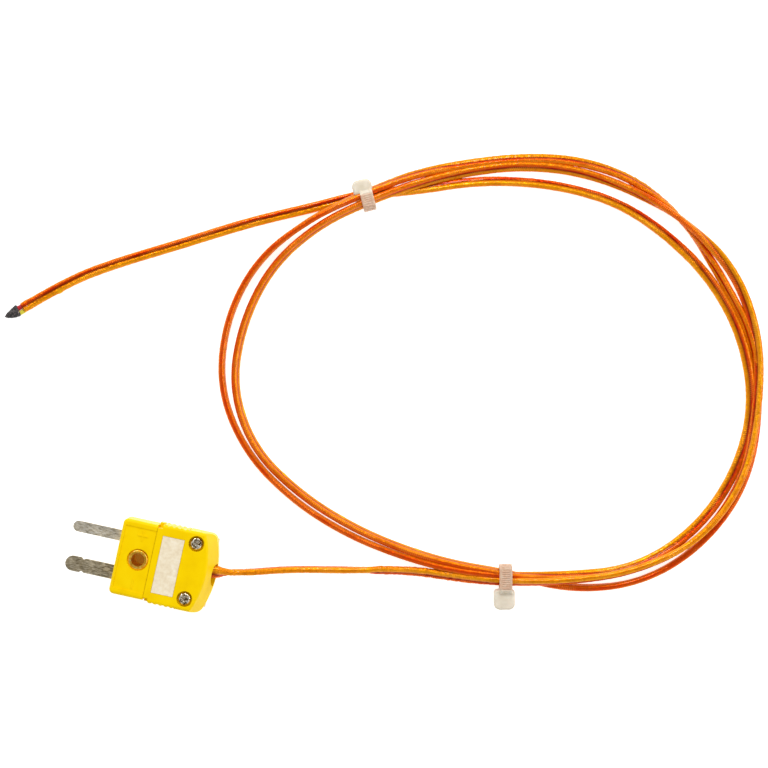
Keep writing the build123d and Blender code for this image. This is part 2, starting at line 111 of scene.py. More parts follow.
# Each turn of the loop, one place every step from the bottom tie: distance from the loop's centre, height
# and roll. At roll 0 the cable lies flat with its yellow core inward, at 90 it stands on edge with the yellow
# core up, and at 270 it stands with the red core up.
FIRST_TURN = [
    (46.5, 2.0, 60), (49.1, 3.1, 68), (54.0, 3.0, 75), (58.7, 2.9, 85),
    (59.8, 2.6, 110), (58.3, 1.9, 135), (58.0, 1.5, 148), (56.2, 2.1, 165),
    (52.0, 2.6, 255), (48.1, 1.4, 305), (45.2, 1.15, 326), (42.7, 1.15, 328),
    (41.0, 1.15, 322), (40.9, 1.9, 312), (42.4, 3.0, 302), (46.2, 1.9, 300),
    (50.1, 1.2, 302), (52.5, 1.1, 300), (54.3, 1.1, 298), (52.7, 1.1, 300),
    (48.3, 1.1, 300), (45.0, 1.1, 298), (43.2, 1.15, 296), (43.1, 1.5, 294),
]
SECOND_TURN = [
    (44.5, 2.0, 292), (51.2, 0.9, 285), (57.1, 1.05, 270), (60.0, 1.05, 275),
    (60.8, 0.8, 285), (58.7, 0.7, 300), (57.0, 0.8, 310), (53.1, 1.0, 315),
    (51.9, 0.8, 262), (50.4, 1.1, 228), (47.5, 1.1, 210), (44.3, 1.1, 208),
    (42.6, 1.15, 212), (43.0, 1.9, 228), (44.3, 3.0, 246), (48.3, 2.6, 262),
    (53.4, 1.4, 278), (56.1, 1.1, 278), (57.0, 1.1, 278), (54.5, 1.1, 276),
    (50.3, 1.1, 274), (46.9, 1.1, 274), (44.8, 1.15, 272), (44.4, 1.5, 275),
]
THIRD_TURN = [
    (45.1, 2.0, 285), (48.1, 1.1, 320), (53.7, 1.0, 335), (56.7, 0.9, 340),
    (57.9, 0.8, 342), (57.6, 0.8, 338), (54.9, 0.7, 335), (51.2, 0.7, 345),
    (47.2, 0.7, 375), (44.3, 0.75, 390), (41.2, 0.75, 395), (39.3, 0.75, 395),
    (38.8, 0.8, 390), (39.5, 0.9, 380), (44.0, 1.3, 365),
]
TURNS = FIRST_TURN + SECOND_TURN + THIRD_TURN
LEAD_COUNT = len(PLUG_LEAD)
TIP_START = LEAD_COUNT + len(TURNS)
# Roll along the two leads, at places counted in route points.
LEAD_ROLLS = [(0.3, 30), (1.05, 90), (1.4, 96), (2.85, 98), (3.2, 90), (3.5, 55), (4.6, 42), (5.45, 45)]
TIP_ROLLS = [(0, 362), (2, 358), (4, 362), (6, 357)]
# How strongly the film is wrinkled, at places counted in route points.
WRINKLES = [
    (0, 1.0), (0.9, 0.8), (1.3, 0.35), (3.1, 0.3), (3.5, 0.9), (4.1, 0.6), (4.7, 0.9), (5.6, 0.7),
    (6.3, 0.35), (9.5, 0.25), (10.3, 0.6), (11.2, 0.6), (12, 0.25), (17, 0.3), (20, 0.3), (24, 0.2),
    (30, 0.15), (37.5, 0.3), (38.2, 0.8), (39, 0.9), (39.8, 0.3), (42.5, 0.4), (46, 0.25), (54, 0.15),
    (59, 0.3), (61, 0.4), (65, 0.3), (67.5, 0.4), (70, 0.25), (74.4, 0.3), (75, 1.0),
]
# How much the film is blown up round the cores, at places counted in route points.
SWELLS = [(0, 1.3), (0.55, 1.35), (1.0, 1.0), (75, 1.0)]
# Folds of film that stand out beside the yellow core: place in route points, length and height in mm.
FILM_TABS = [
    (3.3, 1.2, 0.12), (24.4, 2.4, 0.26), (25.6, 1.4, 0.24), (26.8, 1.3, 0.22), (28.3, 1.6, 0.24),
    (74.1, 1.2, 0.18),
]

CORE_OFFSET = 0.44  # mm from the cable's middle to each core's
CORE_ROUND = 0.68  # mm, radius of the film round a core
GROOVE = 0.53  # mm from the cable's middle up to the film between the cores
GROOVE_HALF = 0.22  # mm from the middle of the groove between the cores to its edge
GROOVE_EDGE_RISE = 0.05
EDGE_TONE = 0.5  # how far into the red core's tones a stretch on edge goes
TAB_ROOT = 0.5  # mm from the cable's middle, where a fold of film starts to stand out
TAB_FULL = 0.3  # mm, height of a fold that shows its pale film in full
WRINKLE_LONG = 0.12  # mm, the most that a long wrinkle stands out
WRINKLE_SHORT = 0.14
WRAP_PITCH = 0.42  # mm along the cable between the film's fine slanting marks, which are bumped and carry painted glints
RING_STEP = 0.3  # mm along the cable between the rings of its mesh
POINTS_PER_SPAN = 32


def loop_place(station, radius, height):
    """Place on the loop at a station counted from the bottom tie."""
    angle = math.radians(LOOP_START_ANGLE + LOOP_STEP * station)
    x = LOOP_CENTRE[0] + radius * math.cos(angle)
    y = LOOP_CENTRE[1] + radius * math.sin(angle)
    return x, y, height


def route_points():
    """Control points of the whole cable, from the connector to the end of the film."""
    loop = [loop_place(station, radius, height) for station, (radius, height, _) in enumerate(TURNS)]
    return PLUG_LEAD + loop + TIP_LEAD


def route_line(points):
    """The route's NURBS spline as points, and how many route points along each of them is."""
    curve = bpy.data.curves.new("cable_route", "CURVE")
    curve.dimensions = "3D"
    curve.resolution_u = POINTS_PER_SPAN
    spline = curve.splines.new("NURBS")
    spline.points.add(len(points) - 1)
    for place, point in zip(spline.points, points):
        place.co = (*[value * MM for value in point], 1.0)
    spline.order_u = 3
    spline.use_endpoint_u = True
    holder = bpy.data.objects.new("cable_route", curve)
    mesh = bpy.data.meshes.new_from_object(holder)
    line = np.array([vertex.co for vertex in mesh.vertices], float)
    bpy.data.objects.remove(holder)
    bpy.data.curves.remove(curve)
    bpy.data.meshes.remove(mesh)
    last = len(points) - 2
    share = np.linspace(0, last, len(line))
    knots = np.clip(np.arange(len(points)) - 0.5, 0, last)
    return line, np.interp(share, knots, np.arange(len(points)))


def evenly(line, place, step):
    """The line and its places again, with points about step apart, and the distance along it."""
    along = np.concatenate([[0], np.cumsum(np.linalg.norm(np.diff(line, axis=0), axis=1))])
    at = np.linspace(0, along[-1], round(along[-1] / step) + 1)
    points = np.stack([np.interp(at, along, line[:, axis]) for axis in range(3)], axis=1)
    return points, np.interp(at, along, place), at


def keyed(place, keys):
    """Value along the cable from (place, value) pairs, easing in and out of each."""
    xs = np.array([key[0] for key in keys], float)
    ys = np.array([key[1] for key in keys], float)
    index = np.clip(np.searchsorted(xs, place, side="right") - 1, 0, len(xs) - 2)
    t = np.clip((place - xs[index]) / (xs[index + 1] - xs[index]), 0, 1)
    return ys[index] + (ys[index + 1] - ys[index]) * t * t * (3 - 2 * t)


def cable_section():
    """Outline of the film round two cores: across from the red to the yellow core, and up, in mm."""
    outline = []
    for side in (1, -1):
        middle = 90 - 90 * side
        for angle in np.linspace(middle - 80, middle + 80, 9):
            turn = math.radians(angle)
            across = side * CORE_OFFSET + CORE_ROUND * math.cos(turn)
            outline.append((across, CORE_ROUND * math.sin(turn)))
        rise = side * (GROOVE + GROOVE_EDGE_RISE)
        outline += [(side * GROOVE_HALF, rise), (0.0, side * GROOVE), (-side * GROOVE_HALF, rise)]
    return np.array(outline)


def fold_heights(place):
    """How far the folds of film stand out at each point along the cable, in mm."""
    heights = np.zeros(len(place))
    places_per_mm = np.gradient(place) / RING_STEP
    for where, length, height in FILM_TABS:
        distance = (place - where) / places_per_mm
        heights += height * np.clip(1 - np.abs(distance) / (length / 2), 0, 1) ** 0.5
    return heights


def cable_axes(points, roll):
    """Directions across the cable, from its red to its yellow core, and out of its face, at each point."""
    tangent = np.gradient(points, axis=0)
    tangent /= np.linalg.norm(tangent, axis=1)[:, None]
    left = np.cross((0.0, 0.0, 1.0), tangent)
    left /= np.linalg.norm(left, axis=1)[:, None]
    up = np.cross(tangent, left)
    across_axis = left * np.cos(roll)[:, None] + up * np.sin(roll)[:, None]
    face_axis = up * np.cos(roll)[:, None] - left * np.sin(roll)[:, None]
    return across_axis, face_axis


def wrinkle_height(s, u, v):
    """Height of full wrinkles at a place along the cable and on its outline, all in mm."""
    seed = Vector((s * 1.1, u * 1.6 + 7.0, v * 1.6))
    fine = Vector((s * 2.6 + v * 1.5, u * 2.3, v * 2.3 + 3.0))
    return WRINKLE_LONG * noise.noise(seed) + WRINKLE_SHORT * noise.noise(fine)


def film_tone(u, v, on_edge):
    """Tone of the film at a place on the outline, from -1 beyond the red core to 1 beyond the yellow one."""
    # Where the cable stands on edge, its red core shows between two rims of amber film.
    rim_tone = EDGE_TONE * (1 - (v / CORE_ROUND) ** 2) - 1
    share = on_edge * min(max(-u / CORE_OFFSET, 0.0), 1.0)
    tone = u / (CORE_OFFSET + CORE_ROUND)
    return tone + (rim_tone - tone) * share


def tube_faces(rings, count):
    """Faces of a tube of that many rings, each of so many points, with both its ends closed."""
    faces = []
    for ring in range(rings - 1):
        for corner in range(count):
            a = ring * count + corner
            b = ring * count + (corner + 1) % count
            faces.append((a, b, b + count, a + count))
    last = (rings - 1) * count
    faces.append(tuple(range(count))[::-1])
    faces.append(tuple(range(last, last + count)))
    return faces


def make_cable():
    """Film-wrapped twin cable as one swept mesh, with what its material needs stored on its points."""
    line, place = route_line(route_points())
    points, place, along = evenly(line, place, RING_STEP * MM)
    rolls = [*LEAD_ROLLS]
    rolls += [(LEAD_COUNT + index, roll) for index, (_, _, roll) in enumerate(TURNS)]
    rolls += [(TIP_START + index, roll) for index, roll in TIP_ROLLS]
    roll = np.radians(keyed(place, rolls))
    wrinkle = keyed(place, WRINKLES)
    blown = keyed(place, SWELLS)
    folds = fold_heights(place)
    on_edge = np.sin(roll) ** 2
    resting = (CORE_OFFSET * np.abs(np.sin(roll)) + CORE_ROUND) * MM
    points[:, 2] = np.maximum(points[:, 2], resting)
    across_axis, face_axis = cable_axes(points, roll)
    outline = cable_section()
    verts = []
    tones = []
    for index, point in enumerate(points):
        for u, v in outline:
            swell = wrinkle[index] * wrinkle_height(along[index] / MM, u, v)
            grow = blown[index] + swell / math.hypot(u, v)
            out = u * grow
            if u > TAB_ROOT:
                out += folds[index] * (u - TAB_ROOT) / (CORE_OFFSET + CORE_ROUND - TAB_ROOT)
            spot = point + across_axis[index] * out * MM + face_axis[index] * (v * grow) * MM
            spot[2] = max(spot[2], 0.0)
            verts.append(tuple(spot))
            tones.append(film_tone(u, v, on_edge[index]))
    count = len(outline)
    mesh = bpy.data.meshes.new("cable")
    mesh.from_pydata(verts, [], tube_faces(len(points), count))
    yellow_side = np.tile(np.clip(outline[:, 0] * 2, 0, 1), len(points))
    for name, values in (
        ("across", tones),
        ("along", np.repeat(along, count)),
        ("wrinkle", np.repeat(wrinkle, count)),
        ("tab", np.repeat(folds, count) / TAB_FULL * yellow_side),
    ):
        attribute = mesh.attributes.new(name, "FLOAT", "POINT")
        attribute.data.foreach_set("value", np.array(values, np.float32))
    mesh.update()
    return smooth_piece("cable", mesh), points


cable, cable_points = make_cable()

# ---------------------------------------------------------------- cable ties

# All in mm.
TIE_WIDTH = 2.7
TIE_THICKNESS = 0.9
STRAP_OPENING_HEIGHT = 3.0
STRAP_CORNER = 1.0
RIB_PITCH = 0.43
RIB_DEPTH = 0.16
RIB_EDGE = 0.42  # width of the plain edge on each side of the ribs
HEAD_BASE_CORNER = 0.7  # corner radius of the head where the strap comes out
HEAD_END_CORNER = 1.2
HEAD_EDGE = 0.55
STRAP_BLEND = 0.3  # mm over which the head's tone turns into the strap's
REMESH = 0.075


def rounded_loop(width, height, radius, step):
    """Points round an upright rectangle with rounded corners, and the outward direction at each."""
    places = []
    half_w = width / 2 - radius
    half_h = height / 2 - radius
    corners = ((half_w, half_h), (-half_w, half_h), (-half_w, -half_h), (half_w, -half_h))
    for (cy, cz), start in zip(corners, (0, 90, 180, 270)):
        for angle in np.linspace(start, start + 90, 10):
            turn = math.radians(angle)
            places.append((cy + radius * math.cos(turn), cz + radius * math.sin(turn), angle))
    dense = []
    for index, (y, z, angle) in enumerate(places):
        ny, nz, next_angle = places[(index + 1) % len(places)]
        if next_angle < angle:
            next_angle += 360
        pieces = max(1, round(math.hypot(ny - y, nz - z) / step))
        for part in range(pieces):
            t = part / pieces
            turn = math.radians(angle + (next_angle - angle) * t)
            dense.append((y + (ny - y) * t, z + (nz - z) * t, turn))
    return dense


def strap_shell(build, opening, low):
    """Closed band round the bundle, ribbed across its outer face between two plain edges."""
    height = STRAP_OPENING_HEIGHT + TIE_THICKNESS
    loop = rounded_loop(opening + TIE_THICKNESS, height, STRAP_CORNER, 0.07)
    half = TIE_WIDTH / 2
    section = [(x, TIE_THICKNESS / 2) for x in np.linspace(-half + 0.18, half - 0.18, 11)]
    section += [(half - 0.05, TIE_THICKNESS / 2 - 0.06), (half, TIE_THICKNESS / 2 - 0.2)]
    section += [(half, -TIE_THICKNESS / 2 + 0.2), (half - 0.2, -TIE_THICKNESS / 2)]
    section += [(-half + 0.2, -TIE_THICKNESS / 2), (-half, -TIE_THICKNESS / 2 + 0.2)]
    section += [(-half, TIE_THICKNESS / 2 - 0.2), (-half + 0.05, TIE_THICKNESS / 2 - 0.06)]
    middle = low + TIE_THICKNESS / 2 + height / 2
    travelled = 0.0
    rings = []
    previous = loop[-1]
    for y, z, angle in loop:
        travelled += math.hypot(y - previous[0], z - previous[1])
        previous = (y, z)
        ridge = 0.5 + 0.5 * math.cos(2 * math.pi * travelled / RIB_PITCH)
        ring = []
        for x, depth in section:
            window = min(1.0, max(0.0, (half - RIB_EDGE - abs(x)) / 0.15))
            if depth > 0.4:
                depth -= RIB_DEPTH * window * (1 - ridge)
            out = (depth * math.cos(angle), depth * math.sin(angle))
            ring.append(build.verts.new((x, y + out[0], middle + z + out[1])))
        rings.append(ring)
    join_rings(build, rings, closed=True)


def join_rings(build, rings, closed=False, caps=False):
    """Skins a list of rings of points."""
    count = len(rings[0])
    pairs = list(zip(rings, rings[1:]))
    if closed:
        pairs.append((rings[-1], rings[0]))
    for first, second in pairs:
        for corner in range(count):
            other = (corner + 1) % count
            build.faces.new((first[corner], first[other], second[other], second[corner]))
    if caps:
        build.faces.new(rings[0][::-1])
        build.faces.new(rings[-1])


def head_shell(build, opening, length, width, height, shift):
    """Ratchet head beside the bundle: barrel-sided block, more rounded at its free end."""
    near = -opening / 2
    far = near - width
    outline = []
    for corner_x, corner_y, radius, start in (
        (length / 2, near, HEAD_BASE_CORNER, 0),
        (-length / 2, near, HEAD_BASE_CORNER, 90),
        (-length / 2, far, HEAD_END_CORNER, 180),
        (length / 2, far, HEAD_END_CORNER, 270),
    ):
        cx = corner_x - math.copysign(radius, corner_x)
        cy = corner_y - radius if start < 180 else corner_y + radius
        for angle in np.linspace(start, start + 90, 8):
            turn = math.radians(angle)
            outline.append((cx + radius * math.cos(turn), cy + radius * math.sin(turn)))
    centre_y = (near + far) / 2
    rings = []
    for angle in np.linspace(-90, 90, 13):
        turn = math.radians(angle)
        inset = HEAD_EDGE * (1 - math.cos(turn))
        z = height / 2 + (height / 2 - HEAD_EDGE) * np.sign(angle) + HEAD_EDGE * math.sin(turn)
        ring = []
        for x, y in outline:
            bulge = 1 + 0.035 * math.cos((y - centre_y) / width * math.pi)
            sx = (abs(x) * bulge - inset) / abs(x) if abs(x) > 0.3 else 1 - inset / 2
            sy = 1 - inset / (width / 2)
            ring.append(build.verts.new((x * sx + shift, centre_y + (y - centre_y) * sy, z)))
        rings.append(ring)
    join_rings(build, rings, caps=True)


def make_tie(name, place, heading, opening, length, width, height, shift):
    """Cable tie: ribbed strap and head merged into one surface."""
    build = bmesh.new()
    strap_shell(build, opening, 0.02)
    head_shell(build, opening, length, width, height, shift)
    holder = linked(name + "_rough", closed_mesh(name + "_rough", build))
    remesh = holder.modifiers.new("merge", "REMESH")
    remesh.mode = "VOXEL"
    remesh.voxel_size = REMESH
    smooth = holder.modifiers.new("smooth", "SMOOTH")
    smooth.factor = 0.4
    smooth.iterations = 2
    graph = bpy.context.evaluated_depsgraph_get()
    mesh = bpy.data.meshes.new_from_object(holder.evaluated_get(graph))
    bpy.data.objects.remove(holder)
    places = np.empty(3 * len(mesh.vertices), np.float32)
    mesh.vertices.foreach_get("co", places)
    beyond = places[1::3] + opening / 2
    strap = mesh.attributes.new("strap", "FLOAT", "POINT")
    strap.data.foreach_set("value", np.clip(beyond / STRAP_BLEND + 0.5, 0, 1))
    turn = Matrix.Rotation(math.radians(heading), 4, "Z")
    mesh.transform(Matrix.Scale(MM, 4) @ Matrix.Translation((place[0], place[1], 0)) @ turn)
    mesh.name = name
    return smooth_piece(name, mesh)


tie_bottom = make_tie("tie_bottom", (75.7, 12.3), 12.4, 4.5, 4.4, 4.3, 3.6, -0.25)
tie_top = make_tie("tie_top", (30.1, 84.2), 206.9, 2.7, 4.1, 3.3, 3.6, 0.5)

# ---------------------------------------------------------------- sealed tip

# All in mm, but for the shares.
SEAL_START = Vector((-37.3, 45.7, 0.74))
SEAL_POINT = Vector((-40.0, 43.6, 0.74))
SEAL_RADIUS = 1.32
SEAL_POINT_RADIUS = 0.03
SEAL_SHOULDER = 0.12  # share of the bead's length over which it widens from the film
SEAL_FLATNESS = 0.68  # share of its width that the bead is high
SEAL_DROP = 0.72  # mm from the bead's middle down to its flat underside
LUMP_SHIFT = Vector((4.0, 1.0, 9.0))


def make_seal():
    """Pointed bead of rough hard compound over the junction, flat where it lies on the surface."""
    ahead = SEAL_POINT - SEAL_START
    build = bmesh.new()
    rings = []
    for t in np.linspace(0.0, 1.0, 40):
        radius = max(SEAL_POINT_RADIUS, SEAL_RADIUS * (1 - t**1.6) ** 0.85)
        if t < SEAL_SHOULDER:
            radius *= 0.8 + 0.2 * math.sin(t / SEAL_SHOULDER * math.pi / 2)
        ring = []
        for angle in np.linspace(0, 2 * math.pi, 48, endpoint=False):
            side = radius * math.cos(angle) + 0.1 * math.sin(math.pi * t)
            rise = SEAL_FLATNESS * radius * math.sin(angle)
            spot = Vector((t * ahead.length, side, rise))
            lump = 0.16 * noise.noise(spot * 1.3 + LUMP_SHIFT) + 0.07 * noise.noise(spot * 3.7)
            rough = 0.035 * noise.noise(spot * 9.0)
            grow = 1 + (lump + rough) * min(1.0, 4 * t + 0.3) / max(radius, 0.5)
            z = max(rise * grow, -SEAL_DROP)
            ring.append(build.verts.new((spot.x + 0.1 * lump, side * grow, z)))
        rings.append(ring)
    join_rings(build, rings, caps=True)
    mesh = closed_mesh("tip_bead", build)
    turn = Matrix.Rotation(math.atan2(ahead.y, ahead.x), 4, "Z")
    mesh.transform(Matrix.Scale(MM, 4) @ Matrix.Translation(SEAL_START) @ turn)
    return smooth_piece("tip_bead", mesh)


def make_stub(name, points, radius):
    """Short bent end of a bare core, from inside the film into the bead."""
    build = bmesh.new()
    line = [Vector(point) for point in points]
    rings = []
    for spot, before, after in zip(line, line[:1] + line, line[1:] + line[-1:]):
        ahead = (after - before).normalized()
        side = Vector((0, 0, 1)).cross(ahead).normalized()
        up = ahead.cross(side)
        ring = []
        for angle in np.linspace(0, 2 * math.pi, 24, endpoint=False):
            out = side * math.cos(angle) + up * math.sin(angle)
            ring.append(build.verts.new((spot + out * radius) * MM))
        rings.append(ring)
    join_rings(build, rings, caps=True)
    return smooth_piece(name, closed_mesh(name, build))


RED_STUB = [
    (-36.5, 46.9, 0.72), (-36.85, 46.6, 0.76), (-37.2, 46.3, 0.8), (-37.55, 46.0, 0.8),
    (-37.9, 45.7, 0.76),
]
YELLOW_STUB = [
    (-35.9, 46.1, 0.72), (-36.25, 45.75, 0.68), (-36.6, 45.4, 0.66), (-36.95, 45.15, 0.68),
    (-37.4, 45.0, 0.7),
]
RED_STUB_RADIUS = 0.52
YELLOW_STUB_RADIUS = 0.5

tip_bead = make_seal()
stub_red = make_stub("stub_red", RED_STUB, RED_STUB_RADIUS)
stub_yellow = make_stub("stub_yellow", YELLOW_STUB, YELLOW_STUB_RADIUS)

# ---------------------------------------------------------------- materials


def linear(red, green, blue):
    """Colour given as it looks on a screen, 0 to 255, for a shader's socket."""
    out = []
    for value in (red, green, blue):
        share = value / 255
        out.append(share / 12.92 if share <= 0.04045 else ((share + 0.055) / 1.055) ** 2.4)
    return (*out, 1.0)


class Finish:
    """One node material in the making."""

    def __init__(self, name, **settings):
        self.material = bpy.data.materials.new(name)
        self.material.use_nodes = True
        self.tree = self.material.node_tree
        self.shader = self.tree.nodes["Principled BSDF"]
        for key, value in settings.items():
            self.shader.inputs[key.replace("_", " ")].default_value = value

    def add(self, kind, **inputs):
        """Node of that kind. Inputs are values or other nodes' outputs, by socket name or index."""
        made = self.tree.nodes.new(kind)
        for key, value in inputs.items():
            self.feed(made, key, value)
        return made

    def feed(self, made, key, value):
        if key.startswith("p_"):
            setattr(made, key[2:], value)
            return
        numbered = key[0] == "i" and key[1:].isdigit()
        socket = made.inputs[int(key[1:]) if numbered else key.replace("_", " ")]
        if isinstance(value, bpy.types.NodeSocket):
            self.tree.links.new(value, socket)
        else:
            socket.default_value = value

    def attribute(self, name):
        made = self.add("ShaderNodeAttribute", p_attribute_name=name, p_attribute_type="GEOMETRY")
        return made.outputs["Fac"]

    def place(self, scale=(1.0, 1.0, 1.0)):
        """Place on the object in mm, stretched by scale."""
        source = self.add("ShaderNodeTexCoord").outputs["Object"]
        made = self.add("ShaderNodeVectorMath", p_operation="MULTIPLY", i0=source, i1=[x / MM for x in scale])
        return made.outputs[0]

    def noise(self, vector, scale, detail=3.0, roughness=0.55):
        made = self.add("ShaderNodeTexNoise", Vector=vector, Scale=scale, Detail=detail, Roughness=roughness)
        return made.outputs["Fac"]

    def math(self, operation, first, second=0.0, clamp=False):
        made = self.add("ShaderNodeMath", p_operation=operation, p_use_clamp=clamp, i0=first, i1=second)
        return made.outputs[0]

    def range(self, value, low, high, to_low=0.0, to_high=1.0):
        made = self.add("ShaderNodeMapRange", Value=value)
        made.inputs["From Min"].default_value = low
        made.inputs["From Max"].default_value = high
        made.inputs["To Min"].default_value = to_low
        made.inputs["To Max"].default_value = to_high
        return made.outputs["Result"]

    def ramp(self, value, stops):
        made = self.add("ShaderNodeValToRGB", Fac=value)
        elements = made.color_ramp.elements
        while len(elements) > 1:
            elements.remove(elements[-1])
        elements[0].position = stops[0][0]
        elements[0].color = linear(*stops[0][1])
        for position, colour in stops[1:]:
            elements.new(position).color = linear(*colour)
        return made.outputs["Color"]

    def mix(self, share, first, second, blend="MIX"):
        made = self.add("ShaderNodeMix", p_data_type="RGBA", p_blend_type=blend)
        self.feed(made, "i0", share)
        self.feed(made, "i6", first)
        self.feed(made, "i7", second)
        return made.outputs[2]

    def bump(self, height, distance, strength=1.0, normal=None):
        made = self.add("ShaderNodeBump", Height=height, Distance=distance * MM, Strength=strength)
        if normal is not None:
            self.tree.links.new(normal, made.inputs["Normal"])
        return made.outputs["Normal"]

    def set(self, **inputs):
        for key, value in inputs.items():
            self.feed(self.shader, key, value)
        return self


def film_finish():
    """Amber film over a red and a yellow core, glossy, with fine slanting wrap marks that carry painted
    glints, wrinkles, and painted shade in the groove between the cores.
    """
    finish = Finish(
        "amber_film", Roughness=0.27, Metallic=0.4, Coat_Weight=0.32, Coat_Roughness=0.05, Coat_IOR=1.4
    )
    finish.shader.inputs["Specular Tint"].default_value = linear(255, 150, 40)
    finish.shader.inputs["Specular IOR Level"].default_value = 0.08
    across = finish.attribute("across")
    along = finish.math("MULTIPLY", finish.attribute("along"), 1000.0)
    wrinkle = finish.attribute("wrinkle")
    where = finish.add("ShaderNodeCombineXYZ", X=along, Y=finish.math("MULTIPLY", across, 1.1))
    blotch = finish.noise(where.outputs[0], 0.5, 2.0)
    streak_place = finish.add(
        "ShaderNodeCombineXYZ", X=finish.math("MULTIPLY", along, 0.35), Y=finish.math("MULTIPLY", across, 6.0)
    )
    streak = finish.noise(streak_place.outputs[0], 1.0, 2.0)
    shifted = finish.math("ADD", across, finish.range(streak, 0, 1, -0.14, 0.14))
    # The dark red to near-black stops in the middle of the ramp (0.39 to 0.52) are painted shade in the
    # groove between the two cores.
    colour = finish.ramp(
        finish.range(shifted, -1.0, 1.0),
        [
            (0.0, (244, 154, 10)), (0.1, (240, 130, 6)), (0.19, (234, 82, 2)), (0.3, (212, 34, 0)),
            (0.39, (160, 10, 0)), (0.46, (88, 4, 0)), (0.52, (170, 70, 0)), (0.6, (230, 136, 2)),
            (0.85, (250, 168, 4)), (1.0, (240, 140, 4)),
        ],
    )
    patchy = finish.mix(finish.range(blotch, 0.4, 0.75, 0.0, 0.4), colour, linear(206, 104, 6))
    speckle = finish.range(finish.noise(finish.place(), 2.2, 3.0, 0.6), 0.38, 0.56, 0.3, 0.0)
    patchy = finish.mix(speckle, patchy, linear(146, 62, 0))
    slant = finish.math("ADD", along, finish.math("MULTIPLY", across, 0.35))
    tick_wave = finish.math("SINE", finish.math("MULTIPLY", slant, 2 * math.pi / WRAP_PITCH))
    tick_place = finish.add("ShaderNodeCombineXYZ", X=finish.math("MULTIPLY", along, 0.12), Y=across)
    tick_where = finish.range(finish.noise(tick_place.outputs[0], 1.0, 1.0), 0.48, 0.6)
    ticks = finish.math("MULTIPLY", finish.range(tick_wave, -1, 1), tick_where)
    # The slanting ticks are bumped as wrap ridges, and their pale orange colour is painted glints along the
    # film's wrinkles.
    with_painted_glints = finish.mix(finish.math("MULTIPLY", ticks, 0.32), patchy, linear(255, 170, 60))
    tabbed = finish.mix(finish.attribute("tab"), with_painted_glints, linear(248, 190, 20))
    crumple = finish.noise(finish.place(), 1.5, 3.0, 0.6)
    fine = finish.math("MULTIPLY", crumple, finish.range(wrinkle, 0, 1, 0.15, 1.0))
    normal = finish.bump(fine, 0.35)
    normal = finish.bump(ticks, 0.03, 1.0, normal)
    return finish.set(Base_Color=tabbed, Normal=normal).material


def nylon_finish():
    """Natural nylon: cream, slightly clouded, half matt."""
    finish = Finish("natural_nylon", Roughness=0.42)
    finish.shader.inputs["Subsurface Weight"].default_value = 0.25
    finish.shader.inputs["Subsurface Scale"].default_value = 0.0008
    finish.shader.inputs["Subsurface Radius"].default_value = (1.0, 0.8, 0.6)
    cloud = finish.noise(finish.place(), 0.45, 3.0)
    colour = finish.ramp(cloud, [(0.3, (214, 202, 180)), (0.5, (224, 213, 194)), (0.72, (234, 225, 208))])
    strap_share = finish.range(finish.noise(finish.place(), 1.4, 3.0), 0.3, 0.6, 0.5, 1.0)
    strap_share = finish.math("MULTIPLY", strap_share, finish.attribute("strap"))
    colour = finish.mix(strap_share, colour, linear(202, 164, 136))
    grain = finish.noise(finish.place(), 7.0, 2.0)
    return finish.set(Base_Color=colour, Normal=finish.bump(grain, 0.01)).material


def seal_finish():
    """Dark hard compound with a gritty surface and paler specks."""
    finish = Finish("seal_compound", Roughness=0.6)
    grit = finish.noise(finish.place(), 2.6, 4.0, 0.65)
    stops = [(0.35, (22, 21, 22)), (0.5, (44, 42, 42)), (0.6, (80, 72, 72)), (0.7, (170, 150, 146))]
    colour = finish.ramp(grit, stops)
    return finish.set(Base_Color=colour, Normal=finish.bump(grit, 0.14)).material


def plastic_finish():
    """Bright yellow moulded thermoplastic with a faintly grained, slightly mottled surface."""
    finish = Finish("yellow_plastic", Roughness=0.38)
    finish.shader.inputs["Specular IOR Level"].default_value = 0.22
    finish.shader.inputs["Specular Tint"].default_value = linear(255, 226, 120)
    mottle = finish.noise(finish.place(), 0.25, 3.0)
    colour = finish.ramp(mottle, [(0.3, (242, 200, 0)), (0.5, (248, 208, 0)), (0.7, (250, 213, 4))])
    grain = finish.noise(finish.place(), 5.0, 3.0)
    rough = finish.range(grain, 0.3, 0.7, 0.32, 0.46)
    return finish.set(Base_Color=colour, Roughness=rough, Normal=finish.bump(grain, 0.012)).material


def label_finish():
    """Matt off-white write-on panel with a paper-like tooth."""
    finish = Finish("label", Roughness=0.7)
    mottle = finish.noise(finish.place(), 0.8, 5.0, 0.65)
    colour = finish.ramp(mottle, [(0.3, (226, 208, 176)), (0.5, (238, 224, 194)), (0.68, (246, 236, 214))])
    grain = finish.noise(finish.place(), 6.0, 3.0)
    return finish.set(Base_Color=colour, Normal=finish.bump(grain, 0.02)).material


def metal_finish(name, tones, roughness, stretch, mark_depth, grime=None, spread=0.2):
    """Metal with fine marks along one direction and a slow change of tone; where the tones are far apart, as
    on the screws, the marks are painted glints and dark reflections.
    """
    finish = Finish(name, Metallic=1.0, Roughness=roughness)
    marks_and_glints = finish.noise(finish.place(stretch), 1.0, 5.0, 0.65)
    slow = finish.noise(finish.place(), 0.6, 2.0)
    colour = finish.ramp(marks_and_glints, [(0.5 - spread, tones[0]), (0.5, tones[1]), (0.5 + spread, tones[2])])
    if grime is not None:
        colour = finish.mix(finish.range(slow, 0.45, 0.75, 0.0, 0.5), colour, linear(*grime))
    rough = finish.range(slow, 0.3, 0.7, roughness * 0.8, roughness * 1.25)
    return finish.set(Base_Color=colour, Roughness=rough, Normal=finish.bump(marks_and_glints, mark_depth)).material


def core_finish(name, dark, light):
    """Extruded insulation with faint lengthwise change of tone."""
    finish = Finish(name, Roughness=0.35)
    tone = finish.noise(finish.place(), 1.2, 3.0)
    colour = finish.ramp(tone, [(0.3, dark), (0.7, light)])
    return finish.set(Base_Color=colour, Normal=finish.bump(tone, 0.02)).material


